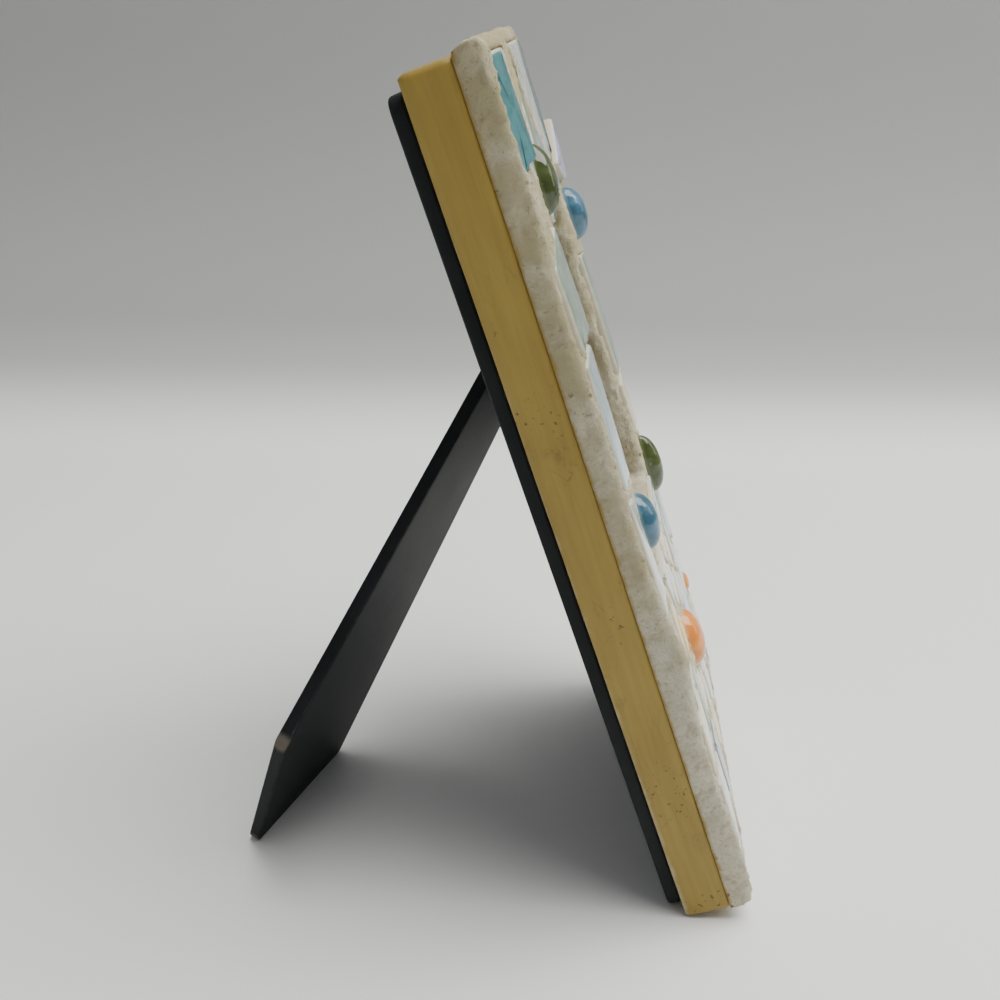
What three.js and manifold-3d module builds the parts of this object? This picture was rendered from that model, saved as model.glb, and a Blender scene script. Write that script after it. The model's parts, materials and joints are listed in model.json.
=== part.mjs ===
// Mosaic picture frame on an easel back. A thick painted wooden frame carries glazed shards, cut
// petals and domed leaves bedded in sandy grout round a window with a glass pane. A black board
// closes the back, and a leg on a slanting hinge props the frame so that it leans back.
//
// Millimetres, +Z up, front towards -Y, standing on the floor. The frame itself is modelled flat:
// x across, y up from its bottom edge, z out of its front from the back of the wood. The leg is
// modelled from its hinge: x along the hinge, y up from it, z out of its inner face.

import * as THREE from 'three';
import { mergeVertices } from 'three/addons/utils/BufferGeometryUtils.js';
import Module from 'manifold-3d';

const wasm = await Module();
wasm.setup();

// Driving dimensions.
const CLEARANCE = 0.3;
const FRAME_WIDTH = 140;
const FRAME_HEIGHT = 254;
const WOOD_THICKNESS = 14;
const WOOD_ARRIS = 0.6;
const LEAN = THREE.MathUtils.degToRad(18.6);

const WINDOW_WIDTH = 84;
const WINDOW_BOTTOM = 100;
const WINDOW_TOP = 202;
const LINING_THICKNESS = 2.6;
const LEDGE_WIDTH = 5;
const RABBET_DEPTH = 2.6;
const GLASS_THICKNESS = 2;

const GROUT_TOP = WOOD_THICKNESS + 7.7;
const TILE_SEAT = WOOD_THICKNESS + 3.9;
const TILE_TOP = WOOD_THICKNESS + 8.3;
const TILE_ARRIS = 0.7;
const JOINT_WIDTH = 3.4;
const EDGE_MARGIN = 2.4;
const BOTTOM_MARGIN = 5;

// The grout's skin: its bulge past the wood, least and with its wander and its growth towards the
// top edge, the radius of its shoulder, and the worn lip round the window.
const BULGE = { least: 0.3, wander: 0.4, growth: 2.2, from: 238, to: 256 };
const BULGE_FOOT = { share: 0.7, height: 1.4 };
const SHOULDER = { sides: 1, bottom: 2.6, reach: 10 };
const LIP = { width: 3, sag: 0.2, arris: 0.8, drop: 1.2 };
const LINING_WAVE = { front: 4, out: 0.2, back: 3, in: 0.3 };

const BOARD_THICKNESS = 4.2;
const BOARD_SIDE_INSET = 3;
const BOARD_TOP_INSET = 4;
const BOARD_BOTTOM_INSET = 2;
const BOARD_CORNER = 4;
const BOARD_ARRIS = 0.8;

const HINGE_X = 5;
const HINGE_Y = 162;
const HINGE_SKEW = THREE.MathUtils.degToRad(23.2);
const HINGE_OPENING = THREE.MathUtils.degToRad(45);
const HINGE_WIDTH = 38;
const KNUCKLE_RADIUS = 2.1;
const KNUCKLE_LENGTH = 11;
const PIN_RADIUS = 0.8;
const LEAF_THICKNESS = 0.8;
const LEAF_HEIGHT = 14;
const RIVET_RADIUS = 1.8;

const LEG_THICKNESS = 4;
const LEG_ARRIS = 0.6;
const LEG_TOP = 3.6;
const LEG_NEAR_TOP = -24;
const LEG_FAR_TOP = 22;
const LEG_FOOT_NEAR = 2.6;
const LEG_FOOT_FAR = 53.6;
const LEG_SIDE_FOOT = { x: -29.6, drop: 133.5 };

const LEFT = -FRAME_WIDTH / 2;
const RIGHT = FRAME_WIDTH / 2;
const WINDOW_LEFT = -WINDOW_WIDTH / 2;
const WINDOW_RIGHT = WINDOW_WIDTH / 2;
const BOARD_BACK = -CLEARANCE - BOARD_THICKNESS;
const HINGE_Z = BOARD_BACK - CLEARANCE - KNUCKLE_RADIUS;

// Finishes: colour, roughness and metalness of each.
const FINISHES = {
  paintedWood: [0xb8923f, 0.5, 0],
  grout: [0xd8cfb4, 0.95, 0],
  glass: [0xdfe8e6, 0.05, 0],
  blackPaper: [0x1b1f24, 0.45, 0],
  blackSteel: [0x24262a, 0.35, 0.7],
  white: [0xe9e6da, 0.12, 0],
  cream: [0xe2d6a8, 0.12, 0],
  paleYellow: [0xe6cf7c, 0.12, 0],
  mint: [0xa9cdb2, 0.12, 0],
  paleBlue: [0xb4c8d6, 0.12, 0],
  lavender: [0xb9b9d8, 0.12, 0],
  teal: [0x3f8a90, 0.1, 0],
  slate: [0x4d6470, 0.1, 0],
  blue: [0x3f86b4, 0.15, 0],
  leafGreen: [0x5e7c2e, 0.2, 0],
  orange: [0xe0832c, 0.15, 0],
};

// Hand-set shards, row by row up the frame: [height, [across, glaze], ...]. A shard of broken
// crockery has its own lift above the other tiles and its own slopes across and up the frame. A
// bare place holds grout alone.
const BARE = 'bare';
const CURLED_UP = { lift: 1.1, across: 0.35, up: -0.02 };
const STANDING_PROUD = { lift: 2, across: 0.03, up: 0.02 };
const TIPPED_OUT = { lift: 0.6, across: 0.05, up: -0.03 };
const SUNK_IN = { lift: -1, across: 0, up: 0.08 };
const SHARD_ROWS = [
  [10, [-55, 'lavender', SUNK_IN], [-28, 'white', SUNK_IN], [2, 'paleBlue', SUNK_IN]],
  [10, [32, 'cream', SUNK_IN], [57, 'mint', SUNK_IN]],
  [32, [-58, 'white'], [-36, 'slate'], [-9, 'paleYellow'], [18, 'white'], [44, 'paleBlue'], [62, 'cream']],
  [56, [-57, 'cream'], [-37, 'mint'], [24, 'lavender'], [47, 'white']],
  [78, [-60, 'mint'], [-42, 'paleYellow'], [16, 'cream'], [36, 'mint'], [60, 'paleBlue']],
  [94, [-22, 'white'], [4, 'paleYellow'], [28, 'paleBlue']],
  [116, [-64, 'white'], [56, 'cream']],
  [154, [-56, 'paleBlue'], [56, 'mint']],
  [197, [-56, 'mint', TIPPED_OUT]],
  [206, [-10, 'mint'], [18, 'paleBlue'], [64, 'lavender', STANDING_PROUD]],
  [212, [-60, BARE]],
  [233, [-66, 'teal', CURLED_UP], [-48, 'white'], [38, 'white'], [48, 'slate']],
];

// Domed pieces that stand out of the mosaic: centre, size, rise above the tiles, turn in degrees,
// taper of the two ends (0 for an oval) and flare (how much fuller the upper end is).
const DOMES = [
  { name: 'leaf_top', x: -31, y: 217, length: 20, width: 11, rise: 4.2, turn: -8, taper: 0.4, flare: 0 },
  { name: 'leaf_bottom', x: 53, y: 99, length: 24, width: 11, rise: 5, turn: 6, taper: 0.4, flare: 0 },
  { name: 'petal_top', x: 56, y: 193, length: 19, width: 12, rise: 5.2, turn: 4, taper: 0.3, flare: 0.2 },
  { name: 'petal_bottom', x: -47, y: 120, length: 17.5, width: 12, rise: 4, turn: -5, taper: 0.3, flare: 0.25 },
  { name: 'flower_centre', x: -8, y: 59, length: 20, width: 17, rise: 4.4, turn: 0, taper: 0, flare: 0 },
  { name: 'bud', x: 63, y: 44, length: 8, width: 6.5, rise: 1, turn: 10, taper: 0, flare: 0 },
];
const DOME_GLAZES = { leaf: 'leafGreen', petal: 'blue', flower: 'orange', bud: 'orange' };

// Flat cut petals round the flower's centre.
const FLOWER = { x: -8, y: 59, petals: 6, radius: 20, length: 15, width: 14, taper: 0.1, flare: 0.3 };
const FLOWER_GLAZES = ['cream', 'white', 'paleYellow'];

// Places where the grout swells up between the pieces: centre, rise and reach.
const SWELLINGS = [
  { x: -66, y: 249, rise: 1.6, reach: 9 },
  { x: -62, y: 212, rise: 1.6, reach: 9 },
  { x: -68, y: 89, rise: 2.6, reach: 10 },
  { x: -66, y: 12, rise: 1.2, reach: 8 },
  { x: 10, y: 254, rise: 1.2, reach: 30 },
  { x: 60, y: 218, rise: 1, reach: 8 },
];

// A closed body through a stack of rings, each an array of points in the same number and order,
// anticlockwise seen from above, from the lowest ring to the highest.
function stack(rings) {
  const count = rings[0].length;
  const centreOf = (ring) => ring.reduce((sum, p) => sum.add(p), new THREE.Vector3()).divideScalar(count);
  const points = [...rings.flat(), centreOf(rings[0]), centreOf(rings.at(-1))];
  const bottom = rings.length * count;
  const last = (rings.length - 1) * count;
  const index = [];
  for (let i = 0; i < count; i += 1) {
    const next = (i + 1) % count;
    for (let k = 0; k + count < bottom; k += count) {
      index.push(k + i, k + next, k + count + i, k + next, k + count + next, k + count + i);
    }
    index.push(bottom, next, i, bottom + 1, last + i, last + next);
  }
  const geometry = new THREE.BufferGeometry().setFromPoints(points);
  geometry.setIndex(index);
  return geometry;
}

// A three.js geometry as a manifold solid, placed by an optional matrix.
function solid(geometry, matrix = new THREE.Matrix4()) {
  const bare = geometry.clone().applyMatrix4(matrix);
  bare.deleteAttribute('normal');
  bare.deleteAttribute('uv');
  const merged = mergeVertices(bare, 1e-4);
  const mesh = { numProp: 3, vertProperties: merged.attributes.position.array };
  mesh.triVerts = new Uint32Array(merged.index.array);
  return new wasm.Manifold(new wasm.Mesh(mesh));
}

// A manifold solid back as a three.js geometry.
function geometryOf(body) {
  const mesh = body.getMesh();
  const geometry = new THREE.BufferGeometry();
  geometry.setAttribute('position', new THREE.BufferAttribute(new Float32Array(mesh.vertProperties), 3));
  geometry.setIndex(new THREE.BufferAttribute(new Uint32Array(mesh.triVerts), 1));
  return geometry.toNonIndexed();
}

function piece(name, geometry, finish) {
  const [color, roughness, metalness] = FINISHES[finish];
  geometry.computeVertexNormals();
  const mesh = new THREE.Mesh(geometry, new THREE.MeshStandardMaterial({ color, roughness, metalness }));
  mesh.name = name;
  return mesh;
}

// An upright rectangle's path or shape, with round corners where a radius is given.
function rectangle(Kind, left, bottom, right, top, radius = 0) {
  const outline = new Kind();
  outline.moveTo(left + radius, bottom);
  outline.lineTo(right - radius, bottom);
  if (radius) outline.absarc(right - radius, bottom + radius, radius, -Math.PI / 2, 0);
  outline.lineTo(right, top - radius);
  if (radius) outline.absarc(right - radius, top - radius, radius, 0, Math.PI / 2);
  outline.lineTo(left + radius, top);
  if (radius) outline.absarc(left + radius, top - radius, radius, Math.PI / 2, Math.PI);
  outline.lineTo(left, bottom + radius);
  if (radius) outline.absarc(left + radius, bottom + radius, radius, Math.PI, 1.5 * Math.PI);
  return outline;
}

// A flat board with softened arrises, its full size given by a shape drawn smaller by the arris.
function board(shape, thickness, arris, curveSegments = 4) {
  const geometry = new THREE.ExtrudeGeometry(shape, {
    depth: thickness - 2 * arris,
    bevelThickness: arris,
    bevelSize: arris,
    bevelSegments: 1,
    curveSegments,
  });
  return geometry.translate(0, 0, arris);
}

// Wooden frame: a thick ring with a rabbet round the window at the back for the glass.
function woodFrame() {
  const a = WOOD_ARRIS;
  const opening = LINING_THICKNESS + CLEARANCE;
  const outline = rectangle(THREE.Shape, LEFT + a, a, RIGHT - a, FRAME_HEIGHT - a);
  outline.holes.push(rectangle(
    THREE.Path,
    WINDOW_LEFT - opening - a,
    WINDOW_BOTTOM - opening - a,
    WINDOW_RIGHT + opening + a,
    WINDOW_TOP + opening + a,
  ));
  const reach = opening + LEDGE_WIDTH;
  const rabbet = new THREE.BoxGeometry(
    WINDOW_WIDTH + 2 * reach,
    WINDOW_TOP - WINDOW_BOTTOM + 2 * reach,
    2 * RABBET_DEPTH,
  ).translate(0, (WINDOW_BOTTOM + WINDOW_TOP) / 2, 0);
  return geometryOf(solid(board(outline, WOOD_THICKNESS, a)).subtract(solid(rabbet)));
}

function glassPane() {
  const reach = LINING_THICKNESS + LEDGE_WIDTH;
  const height = WINDOW_TOP - WINDOW_BOTTOM + 2 * reach;
  const pane = new THREE.BoxGeometry(WINDOW_WIDTH + 2 * reach, height, GLASS_THICKNESS);
  return pane.translate(0, (WINDOW_BOTTOM + WINDOW_TOP) / 2, RABBET_DEPTH - CLEARANCE - GLASS_THICKNESS / 2);
}

// The grout's unevenness, as left by a trowel and a finger.
function ripple(x, y) {
  return 0.35 * Math.sin(0.19 * x + 0.8) * Math.sin(0.23 * y) + 0.25 * Math.sin(0.37 * x - 0.29 * y + 2);
}

function groutTop(x, y) {
  const swellings = SWELLINGS.map(({ x: centreX, y: centreY, rise, reach }) => {
    const share = Math.hypot(x - centreX, y - centreY) / reach;
    return rise * Math.exp(-share * share);
  });
  return swellings.reduce((sum, swelling) => sum + swelling, GROUT_TOP + ripple(x, y));
}

// How far the grout bulges past the sides of the wood: most at the top edge.
function overhang(x, y) {
  const growth = BULGE.growth * THREE.MathUtils.smoothstep(y, BULGE.from, BULGE.to);
  return BULGE.least + BULGE.wander * Math.sin(0.31 * x + 0.17 * y) ** 2 + growth;
}

// Points along the four sides of the frame's outer edge or of the window's edge, corner by corner.
function rimPoints(left, bottom, right, top) {
  const corners = [[left, bottom], [right, bottom], [right, top], [left, top]];
  const steps = [8, 15, 8, 15];
  return corners.flatMap(([x, y], side) => {
    const [nextX, nextY] = corners[(side + 1) % corners.length];
    return Array.from({ length: steps[side] }, (_, k) => {
      const t = k / steps[side];
      return new THREE.Vector2(x + (nextX - x) * t, y + (nextY - y) * t);
    });
  });
}

// One section of the grout bed, from a point on the outer edge to its partner on the window's edge:
// up the bulging outer side, round its shoulder, across the top and down the window's lining. The
// shoulder is rounder along the bottom edge.
function groutSection(outer, inner) {
  const inward = inner.clone().sub(outer);
  const width = inward.length();
  inward.normalize();
  const foot = WOOD_THICKNESS + CLEARANCE;
  const heel = RABBET_DEPTH + CLEARANCE;
  const bulge = overhang(outer.x, outer.y);
  const roundness = 1 - THREE.MathUtils.smoothstep(outer.y, 0, SHOULDER.reach);
  const shoulder = THREE.MathUtils.lerp(SHOULDER.sides, SHOULDER.bottom, roundness);
  const at = (distance, height) => {
    const p = outer.clone().addScaledVector(inward, distance);
    return new THREE.Vector3(p.x, p.y, height);
  };
  const top = (distance, drop) => {
    const p = at(distance, 0);
    return p.setZ(groutTop(p.x, p.y) - drop);
  };
  return [
    at(0, foot),
    at(-BULGE_FOOT.share * bulge, foot + BULGE_FOOT.height),
    top(-bulge, 1.8 * shoulder),
    top(0.5 * shoulder, 0.6 * shoulder),
    top(2.2 * shoulder, 0.05 * shoulder),
    ...[0.25, 0.4, 0.55, 0.7, 0.82].map((share) => top(share * width, 0)),
    top(width - LIP.width, LIP.sag),
    top(width - LIP.arris, LIP.drop),
    at(width + LINING_WAVE.out, foot + LINING_WAVE.front),
    at(width - LINING_WAVE.in, foot - LINING_WAVE.back),
    at(width, heel),
    at(width - LINING_THICKNESS, heel),
    at(width - LINING_THICKNESS, foot),
  ];
}

// The grout bed: its section carried round the ring, as one closed skin.
function groutRing() {
  const outer = rimPoints(LEFT, 0, RIGHT, FRAME_HEIGHT);
  const inner = rimPoints(WINDOW_LEFT, WINDOW_BOTTOM, WINDOW_RIGHT, WINDOW_TOP);
  const sections = outer.map((point, k) => groutSection(point, inner[k]));
  const count = sections[0].length;
  const index = [];
  sections.forEach((_, k) => {
    const next = (k + 1) % sections.length;
    for (let i = 0; i < count; i += 1) {
      const j = (i + 1) % count;
      const [a, b, c, d] = [k * count + i, next * count + i, next * count + j, k * count + j];
      index.push(a, b, c, a, c, d);
    }
  });
  const geometry = new THREE.BufferGeometry().setFromPoints(sections.flat());
  geometry.setIndex(index);
  return geometry;
}

// An oval or almond outline, grown all round by a margin or scaled about its centre.
function almond({ x, y, length, width, turn, taper, flare }, margin = 0, scale = 1) {
  const steps = 14;
  const angle = THREE.MathUtils.degToRad(turn);
  return Array.from({ length: steps }, (_, k) => {
    const t = (2 * Math.PI * k) / steps;
    const fullness = (1 - taper + taper * Math.abs(Math.cos(t))) * (1 + flare * Math.sin(t));
    const along = (length / 2 + margin) * Math.sin(t) * scale;
    const across = ((width / 2) * fullness + margin) * Math.cos(t) * scale;
    return new THREE.Vector2(across, along).rotateAround(new THREE.Vector2(), angle).add({ x, y });
  });
}

const raise = (outline, z) => outline.map((p) => new THREE.Vector3(p.x, p.y, z));

// A piece pressed in a mould: straight below the grout, domed above.
function dome(shape) {
  const rings = [raise(almond(shape), TILE_SEAT), raise(almond(shape), TILE_TOP - 0.8)];
  [25, 50, 70].forEach((degrees) => {
    const angle = THREE.MathUtils.degToRad(degrees);
    const height = TILE_TOP - 0.8 + (shape.rise + 0.8) * Math.sin(angle);
    rings.push(raise(almond(shape, 0, Math.cos(angle)), height));
  });
  rings.push(raise(almond(shape, 0, 0.12), TILE_TOP + shape.rise));
  return stack(rings);
}

// The part of a polygon on the near side of a line, given by a point on it and its outward normal.
function clip(polygon, point, normal) {
  const distance = (p) => p.clone().sub(point).dot(normal);
  return polygon.flatMap((p, k) => {
    const q = polygon[(k + 1) % polygon.length];
    const [dp, dq] = [distance(p), distance(q)];
    const kept = dp <= 0 ? [p] : [];
    if ((dp < 0 && dq > 0) || (dp > 0 && dq < 0)) {
      kept.push(p.clone().lerp(q, dp / (dp - dq)));
    }
    return kept;
  });
}

// How far an almond reaches from its centre in a direction.
function reachOf(shape, direction) {
  const turned = direction.clone().rotateAround(new THREE.Vector2(), -THREE.MathUtils.degToRad(shape.turn));
  return Math.hypot((turned.y * shape.length) / 2, (turned.x * shape.width) / 2);
}

// The bar of the frame that holds a point, as a rectangle inset from the sides and the window.
function barAround(x, y, inset) {
  const window = { left: WINDOW_LEFT - inset, right: WINDOW_RIGHT + inset };
  const box = { left: LEFT + inset, bottom: inset, right: RIGHT - inset, top: FRAME_HEIGHT - inset };
  if (y < WINDOW_BOTTOM) {
    box.top = WINDOW_BOTTOM - inset;
  } else if (y > WINDOW_TOP) {
    box.bottom = WINDOW_TOP + inset;
  } else if (x < 0) {
    box.right = window.left;
  } else {
    box.left = window.right;
  }
  return [
    new THREE.Vector2(box.left, box.bottom),
    new THREE.Vector2(box.right, box.bottom),
    new THREE.Vector2(box.right, box.top),
    new THREE.Vector2(box.left, box.top),
  ];
}

// A shard's outline: its bar, cut back halfway to each other shard and clear of each shaped piece.
function shardOutline(site, sites, shapes, margin) {
  const here = new THREE.Vector2(site.x, site.y);
  let outline = barAround(site.x, site.y, EDGE_MARGIN - margin);
  outline = clip(outline, new THREE.Vector2(0, BOTTOM_MARGIN - margin), new THREE.Vector2(0, -1));
  const cut = (other, distance) => {
    const normal = other.clone().sub(here).normalize();
    outline = clip(outline, here.clone().addScaledVector(normal, distance), normal);
  };
  sites.filter((other) => other !== site).forEach((other) => {
    const there = new THREE.Vector2(other.x, other.y);
    cut(there, here.distanceTo(there) / 2 - JOINT_WIDTH / 2 + margin);
  });
  shapes.forEach((shape) => {
    const there = new THREE.Vector2(shape.x, shape.y);
    const back = here.clone().sub(there).normalize();
    cut(there, here.distanceTo(there) - reachOf(shape, back) - JOINT_WIDTH / 2 + margin);
  });
  return outline;
}

// A shard: a prism with a softened upper arris and a sloping face.
function shard(outline, { lift = 0, across, up }) {
  const centre = outline.reduce((sum, p) => sum.add(p), new THREE.Vector2()).divideScalar(outline.length);
  const top = (p) => TILE_TOP + lift + across * (p.x - centre.x) + up * (p.y - centre.y);
  const shrink = (distance) => outline.map((p) => {
    const spoke = p.clone().sub(centre);
    return centre.clone().add(spoke.setLength(spoke.length() - distance));
  });
  return stack([
    raise(outline, TILE_SEAT),
    outline.map((p) => new THREE.Vector3(p.x, p.y, top(p) - TILE_ARRIS)),
    shrink(TILE_ARRIS * 1.4).map((p) => new THREE.Vector3(p.x, p.y, top(p))),
  ]);
}

// A pocket in the grout for a piece with a given outline.
function pocket(outline) {
  const above = TILE_TOP + 20;
  return solid(stack([raise(outline, TILE_SEAT - CLEARANCE), raise(outline, above)]));
}

// Petals of the cut flower, evenly spaced round its centre.
function flowerPetals() {
  return Array.from({ length: FLOWER.petals }, (_, k) => {
    const angle = (2 * Math.PI * (k + 0.5)) / FLOWER.petals;
    return {
      name: `flower_petal_${k + 1}`,
      x: FLOWER.x + FLOWER.radius * Math.cos(angle),
      y: FLOWER.y + FLOWER.radius * Math.sin(angle),
      length: FLOWER.length,
      width: FLOWER.width,
      turn: THREE.MathUtils.radToDeg(angle) - 90,
      taper: FLOWER.taper,
      flare: FLOWER.flare,
      glaze: FLOWER_GLAZES[k % FLOWER_GLAZES.length],
    };
  });
}

// The slight slope at which a tile was pressed into the grout, different for each.
function pressed(k) {
  return { across: 0.018 * Math.sin(3.1 * k), up: 0.014 * Math.cos(2.3 * k) };
}

// The mosaic: every shaped piece and shard, with the grout bed pocketed round them.
function mosaic() {
  const petals = flowerPetals();
  const shapes = [...DOMES, ...petals];
  const sites = SHARD_ROWS.flatMap(([y, ...places]) => {
    return places.map(([x, glaze, lie]) => ({ x, y, glaze, lie }));
  });
  const group = new THREE.Group();
  let bed = solid(groutRing());
  shapes.forEach((shape) => {
    bed = bed.subtract(pocket(almond(shape, CLEARANCE)));
  });
  DOMES.forEach((shape) => {
    group.add(piece(shape.name, dome(shape), DOME_GLAZES[shape.name.split('_')[0]]));
  });
  petals.forEach((petal, k) => {
    group.add(piece(petal.name, shard(almond(petal), pressed(k)), petal.glaze));
  });
  sites.filter((site) => site.glaze !== BARE).forEach((site, k) => {
    bed = bed.subtract(pocket(shardOutline(site, sites, shapes, CLEARANCE)));
    const outline = shardOutline(site, sites, shapes, 0);
    const name = `shard_${String(k + 1).padStart(2, '0')}_${site.glaze}`;
    group.add(piece(name, shard(outline, site.lie ?? pressed(k)), site.glaze));
  });
  group.add(piece('grout_bed', geometryOf(bed), 'grout'));
  return group;
}

// Back board, lying on the back of the wood, a little smaller than it all round.
function backBoard() {
  const a = BOARD_ARRIS;
  const shape = rectangle(
    THREE.Shape,
    LEFT + BOARD_SIDE_INSET + a,
    BOARD_BOTTOM_INSET + a,
    RIGHT - BOARD_SIDE_INSET - a,
    FRAME_HEIGHT - BOARD_TOP_INSET - a,
    BOARD_CORNER - a,
  );
  return board(shape, BOARD_THICKNESS, a).translate(0, 0, BOARD_BACK);
}

// A cylinder along the hinge, from one place on its axis to another.
function alongHinge(radius, from, to, sides = 12) {
  const cylinder = new THREE.CylinderGeometry(radius, radius, to - from, sides);
  return solid(cylinder.rotateZ(Math.PI / 2).translate((from + to) / 2, 0, 0));
}

// Rivet heads on a leaf's outer face: one low dome near each end.
function rivets(y, z, side) {
  const head = new THREE.SphereGeometry(RIVET_RADIUS, 10, 6).scale(1, 1, 0.5);
  const place = (x) => new THREE.Matrix4().makeTranslation(x, y, z + side * 0.1);
  return [-1, 1].map((end) => solid(head, place((end * HINGE_WIDTH) / 3)));
}

// The half of the hinge on the board: a riveted leaf, its two end knuckles and the pin.
function boardLeaf() {
  const z = KNUCKLE_RADIUS - LEAF_THICKNESS / 2;
  const leaf = new THREE.BoxGeometry(HINGE_WIDTH, LEAF_HEIGHT, LEAF_THICKNESS);
  const half = HINGE_WIDTH / 2;
  let body = solid(leaf.translate(0, KNUCKLE_RADIUS + 1 + LEAF_HEIGHT / 2, z));
  body = body.add(alongHinge(PIN_RADIUS, -half, half));
  [-1, 1].forEach((side) => {
    const outer = side * half;
    const inner = side * (half - KNUCKLE_LENGTH);
    const [from, to] = [Math.min(outer, inner), Math.max(outer, inner)];
    const web = new THREE.BoxGeometry(KNUCKLE_LENGTH, KNUCKLE_RADIUS + 2, LEAF_THICKNESS);
    body = body.add(alongHinge(KNUCKLE_RADIUS, from, to));
    body = body.add(solid(web.translate((from + to) / 2, (KNUCKLE_RADIUS + 2) / 2, z)));
  });
  rivets(KNUCKLE_RADIUS + 1 + LEAF_HEIGHT * 0.6, z - LEAF_THICKNESS / 2, -1).forEach((rivet) => {
    body = body.add(rivet);
  });
  return geometryOf(body);
}

// The half of the hinge on the leg: a sleeve round the pin and a leaf riveted to the leg's back.
function legLeaf() {
  const half = HINGE_WIDTH / 2 - KNUCKLE_LENGTH - CLEARANCE;
  const z = -LEG_THICKNESS / 2 - CLEARANCE - LEAF_THICKNESS / 2;
  const leaf = new THREE.BoxGeometry(HINGE_WIDTH, LEAF_HEIGHT, LEAF_THICKNESS);
  const web = new THREE.BoxGeometry(2 * half, LEG_TOP - CLEARANCE, 2 * LEAF_THICKNESS);
  let body = solid(leaf.translate(0, -KNUCKLE_RADIUS - 1 - LEAF_HEIGHT / 2, z));
  body = body.add(solid(web.translate(0, (CLEARANCE - LEG_TOP) / 2, z + LEAF_THICKNESS / 2)));
  body = body.add(alongHinge(KNUCKLE_RADIUS, -half, half));
  body = body.subtract(alongHinge(PIN_RADIUS + CLEARANCE, -HINGE_WIDTH, HINGE_WIDTH));
  rivets(-KNUCKLE_RADIUS - 1 - LEAF_HEIGHT * 0.6, z - LEAF_THICKNESS / 2, -1).forEach((rivet) => {
    body = body.add(rivet);
  });
  return geometryOf(body);
}

// How far down the open leg the floor lies, at a place along the hinge.
function floorDrop(x) {
  const up = Math.cos(LEAN);
  const out = Math.sin(LEAN);
  const start = (HINGE_Y - x * Math.sin(HINGE_SKEW)) * up + HINGE_Z * out;
  const slope = Math.cos(HINGE_SKEW) * Math.cos(HINGE_OPENING) * up + Math.sin(HINGE_OPENING) * out;
  const faceFall = Math.cos(HINGE_SKEW) * Math.sin(HINGE_OPENING) * up - Math.cos(HINGE_OPENING) * out;
  return (start - (LEG_THICKNESS / 2) * faceFall) / slope;
}

// Easel leg: a board with a foot cut for standing upright and a side foot for standing lengthways.
function easelLeg() {
  const shape = new THREE.Shape([
    new THREE.Vector2(LEG_NEAR_TOP, -LEG_TOP),
    new THREE.Vector2(LEG_SIDE_FOOT.x, -LEG_SIDE_FOOT.drop),
    new THREE.Vector2(LEG_FOOT_NEAR, -floorDrop(LEG_FOOT_NEAR)),
    new THREE.Vector2(LEG_FOOT_FAR, -floorDrop(LEG_FOOT_FAR)),
    new THREE.Vector2(LEG_FAR_TOP, -LEG_TOP),
  ]);
  const leg = new THREE.ExtrudeGeometry(shape, {
    depth: LEG_THICKNESS - 2 * LEG_ARRIS,
    bevelThickness: LEG_ARRIS,
    bevelSize: LEG_ARRIS,
    bevelOffset: -LEG_ARRIS,
    bevelSegments: 1,
  });
  return leg.translate(0, 0, LEG_ARRIS - LEG_THICKNESS / 2);
}

// The hinge's place and slant on the back board.
function hingeGroup(opening) {
  const group = new THREE.Group();
  group.position.set(HINGE_X, HINGE_Y, HINGE_Z);
  group.rotation.set(opening, 0, -HINGE_SKEW, 'ZYX');
  return group;
}

function build() {
  const frame = new THREE.Group();
  frame.rotation.x = Math.PI / 2 - LEAN;
  frame.add(piece('wood_frame', woodFrame(), 'paintedWood'));
  frame.add(piece('glass_pane', glassPane(), 'glass'));
  frame.add(mosaic());
  frame.add(piece('back_board', backBoard(), 'blackPaper'));
  const fixed = hingeGroup(0);
  fixed.add(piece('hinge_board_leaf', boardLeaf(), 'blackSteel'));
  const leg = hingeGroup(HINGE_OPENING);
  leg.add(piece('hinge_leg_leaf', legLeaf(), 'blackSteel'));
  leg.add(piece('easel_leg', easelLeg(), 'blackPaper'));
  frame.add(fixed, leg);
  return frame;
}

// Stands the object on the floor, with the origin under the middle of its outline.
function standOnFloor(object) {
  const group = new THREE.Group();
  group.add(object);
  const bounds = new THREE.Box3().setFromObject(group, true);
  const middle = bounds.getCenter(new THREE.Vector3());
  object.position.set(-middle.x, -middle.y, -bounds.min.z);
  return group;
}

const group = standOnFloor(build());
export default group;
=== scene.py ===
"""Mosaic picture frame: glazed shards in sandy grout on painted wood, propped on a black easel back.

Every piece is modelled flat, in millimetres, in one of two working places: the front's (across, up the
frame, out of its front) and the leg's (along the hinge, up the leg, out of its inner face).
"""

import json
import logging
import math
from dataclasses import dataclass, field
from enum import Enum
from typing import Any, Iterable, Optional, Sequence, Union

import bmesh
import bpy
import numpy as np
from mathutils import Matrix, Vector, noise


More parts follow.
